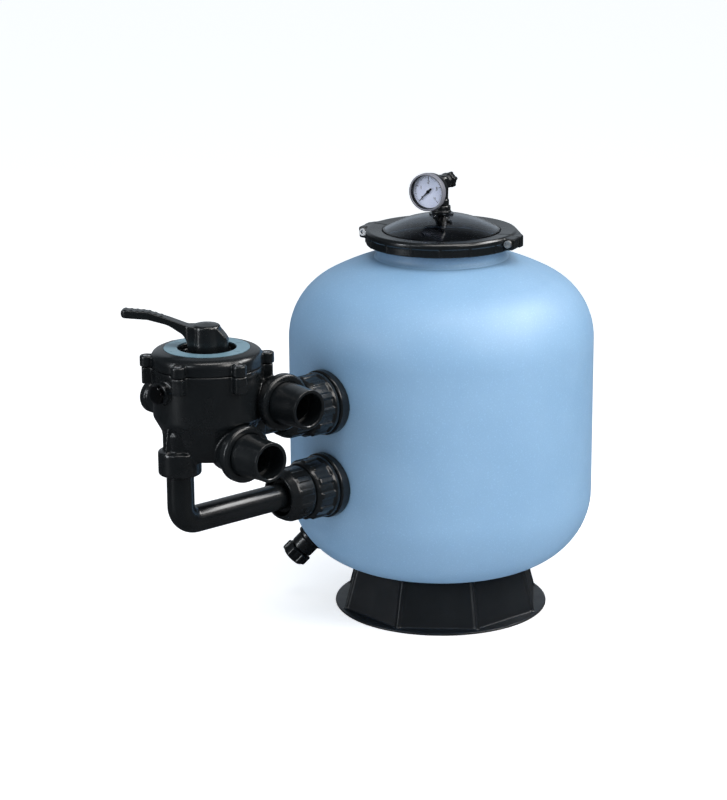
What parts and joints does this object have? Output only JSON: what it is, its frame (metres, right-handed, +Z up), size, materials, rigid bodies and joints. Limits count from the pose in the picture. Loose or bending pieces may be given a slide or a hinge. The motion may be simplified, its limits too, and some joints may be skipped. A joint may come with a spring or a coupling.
{
  "type": "sand filter tank",
  "caption": "Side-mount pool sand filter: round tank on a skirted foot with a clamped clear lid, pressure gauge and multiport valve on two tank connectors.",
  "frame": {"origin": "centre of the foot, on the floor", "axes": "+Z up; the valve stands towards -X; its pump and return sockets open towards -Y and its waste port towards +Y"},
  "size_m": [0.835, 0.4998, 0.7375],
  "materials": {
    "tank_blue": "satin, fine moulded texture",
    "black_plastic": "moulded, satin gloss",
    "black_pipe": "smooth extruded, glossy",
    "foot_plastic": "moulded, fine texture",
    "clear_lid": "clear moulded plastic, smoky",
    "clear_lens": "clear, polished",
    "grey_plastic": "smooth, pale grey",
    "smoked_glass": "smoked, polished",
    "dial_white": "printed, satin",
    "label_blue": "printed, satin",
    "white_plastic": "moulded, satin",
    "rubber": "matte",
    "steel": "machined",
    "brass": "machined",
    "needle_black": "matte"
  },
  "bodies": {
    "tank": {"foot_base": "foot_plastic", "tank_shell": "tank_blue", "lid_dome": "clear_lid", "lid_o_ring": "rubber", "lid_stem": "black_plastic", "lid_stem_o_ring": "rubber", "gauge_lock_nut": "black_plastic", "gauge_tee": "black_plastic", "gauge_socket": "brass", "gauge_case": "black_plastic", "gauge_bezel": "grey_plastic", "gauge_lens": "clear_lens", "gauge_dial": "dial_white", "bourdon_tube": "brass", "gauge_movement": "brass", "bulkheads": "black_plastic", "bulkhead_gaskets": "rubber", "flange_washers": "black_plastic", "lock_nuts": "black_plastic", "union_o_rings": "rubber", "upper_union_tail": "black_pipe", "lower_union_tail": "black_plastic", "manifold_pipe": "black_pipe", "inner_pipes": "white_plastic", "inner_elbows": "black_plastic", "top_diffuser": "white_plastic", "lateral_hub": "white_plastic", "laterals": "white_plastic", "drain_body": "black_plastic", "drain_gasket": "rubber", "drain_strainer": "white_plastic", "valve_body": "black_plastic", "valve_cover": "black_plastic", "cover_o_ring": "rubber", "cover_screws": "steel", "cover_nuts": "steel", "label_plate": "label_blue", "spider_gasket": "rubber", "stem_o_ring": "rubber", "port_tails": "black_pipe", "port_o_rings": "rubber", "sight_glass": "smoked_glass"},
    "needle": {"gauge_needle": "needle_black"},
    "vent_seat": {"vent_seal": "rubber"},
    "vent_grip": {"vent_knob": "black_plastic"},
    "front_clamp": {"clamp_front": "black_plastic", "clamp_screws": "steel"},
    "rear_clamp": {"clamp_rear": "black_plastic", "clamp_nuts": "steel"},
    "upper_nut": {"upper_union_nut": "black_plastic"},
    "lower_nut": {"lower_union_nut": "black_plastic"},
    "pump_nut": {"pump_port_nut": "black_plastic"},
    "return_nut": {"return_port_nut": "black_plastic"},
    "drain_plug_seal": {"drain_seal": "rubber"},
    "drain_plug": {"drain_cap": "black_plastic"},
    "selector": {"stem_washer": "black_plastic", "rotor_spring": "steel"},
    "rotor_stem": {"rotor": "white_plastic", "handle_pin": "steel"},
    "handle": {"valve_handle": "black_plastic"}
  },
  "joints": [
    {"name": "needle_turn", "type": "hinge", "parent": "tank", "child": "needle", "pos_m": [0, 0, 0.707], "axis": [-0.9272, -0.3746, 0], "range_deg": [-270, 0]},
    {"name": "vent_turn", "type": "hinge", "parent": "vent_seat", "child": "vent_grip", "pos_m": [0, 0, 0.713], "axis": [0.9272, 0.3746, 0], "range_deg": [0, 720]},
    {"name": "vent_lift", "type": "slide", "parent": "tank", "child": "vent_seat", "axis": [0.9272, 0.3746, 0], "range_m": [0, 0.004]},
    {"name": "drain_turn", "type": "hinge", "parent": "drain_plug_seal", "child": "drain_plug", "pos_m": [-0.09508, 0.08866, 0.201], "axis": [-0.5034, 0.4695, -0.7254], "range_deg": [0, 1080]},
    {"name": "drain_lift", "type": "slide", "parent": "tank", "child": "drain_plug_seal", "axis": [-0.5034, 0.4695, -0.7254], "range_m": [0, 0.009]},
    {"name": "upper_nut_turn", "type": "hinge", "parent": "tank", "child": "upper_nut", "pos_m": [-0.33, 0, 0.393], "axis": [-1, 0, 0], "continuous": true},
    {"name": "lower_nut_turn", "type": "hinge", "parent": "tank", "child": "lower_nut", "pos_m": [-0.33, 0, 0.256], "axis": [-1, 0, 0], "continuous": true},
    {"name": "pump_nut_turn", "type": "hinge", "parent": "tank", "child": "pump_nut", "pos_m": [-0.485, -0.09, 0.373], "axis": [0, -1, 0], "continuous": true},
    {"name": "return_nut_turn", "type": "hinge", "parent": "tank", "child": "return_nut", "pos_m": [-0.409, -0.09, 0.44], "axis": [0, -1, 0], "continuous": true},
    {"name": "front_clamp_off", "type": "slide", "parent": "tank", "child": "front_clamp", "axis": [-0.9135, -0.4067, 0], "range_m": [0, 0.15]},
    {"name": "rear_clamp_off", "type": "slide", "parent": "tank", "child": "rear_clamp", "axis": [0.9135, 0.4067, 0], "range_m": [0, 0.15]},
    {"name": "handle_turn", "type": "hinge", "parent": "tank", "child": "selector", "pos_m": [-0.485, 0, 0.52], "axis": [0, 0, 1], "continuous": true},
    {"name": "rotor_lift", "type": "slide", "parent": "selector", "child": "rotor_stem", "axis": [0, 0, 1], "range_m": [0, 0.0047], "deforming": ["rotor_spring"]},
    {"name": "handle_press", "type": "hinge", "parent": "rotor_stem", "child": "handle", "pos_m": [-0.485, 0, 0.541], "axis": [-0.682, -0.7314, 0], "range_deg": [0, 12]}
  ],
  "couplings": [
    {"joint": "vent_lift", "follows": "vent_turn", "m_per_rad": 0.00031831},
    {"joint": "drain_lift", "follows": "drain_turn", "m_per_rad": 0.00047746},
    {"joint": "rotor_lift", "follows": "handle_press", "m_per_rad": 0.022}
  ]
}
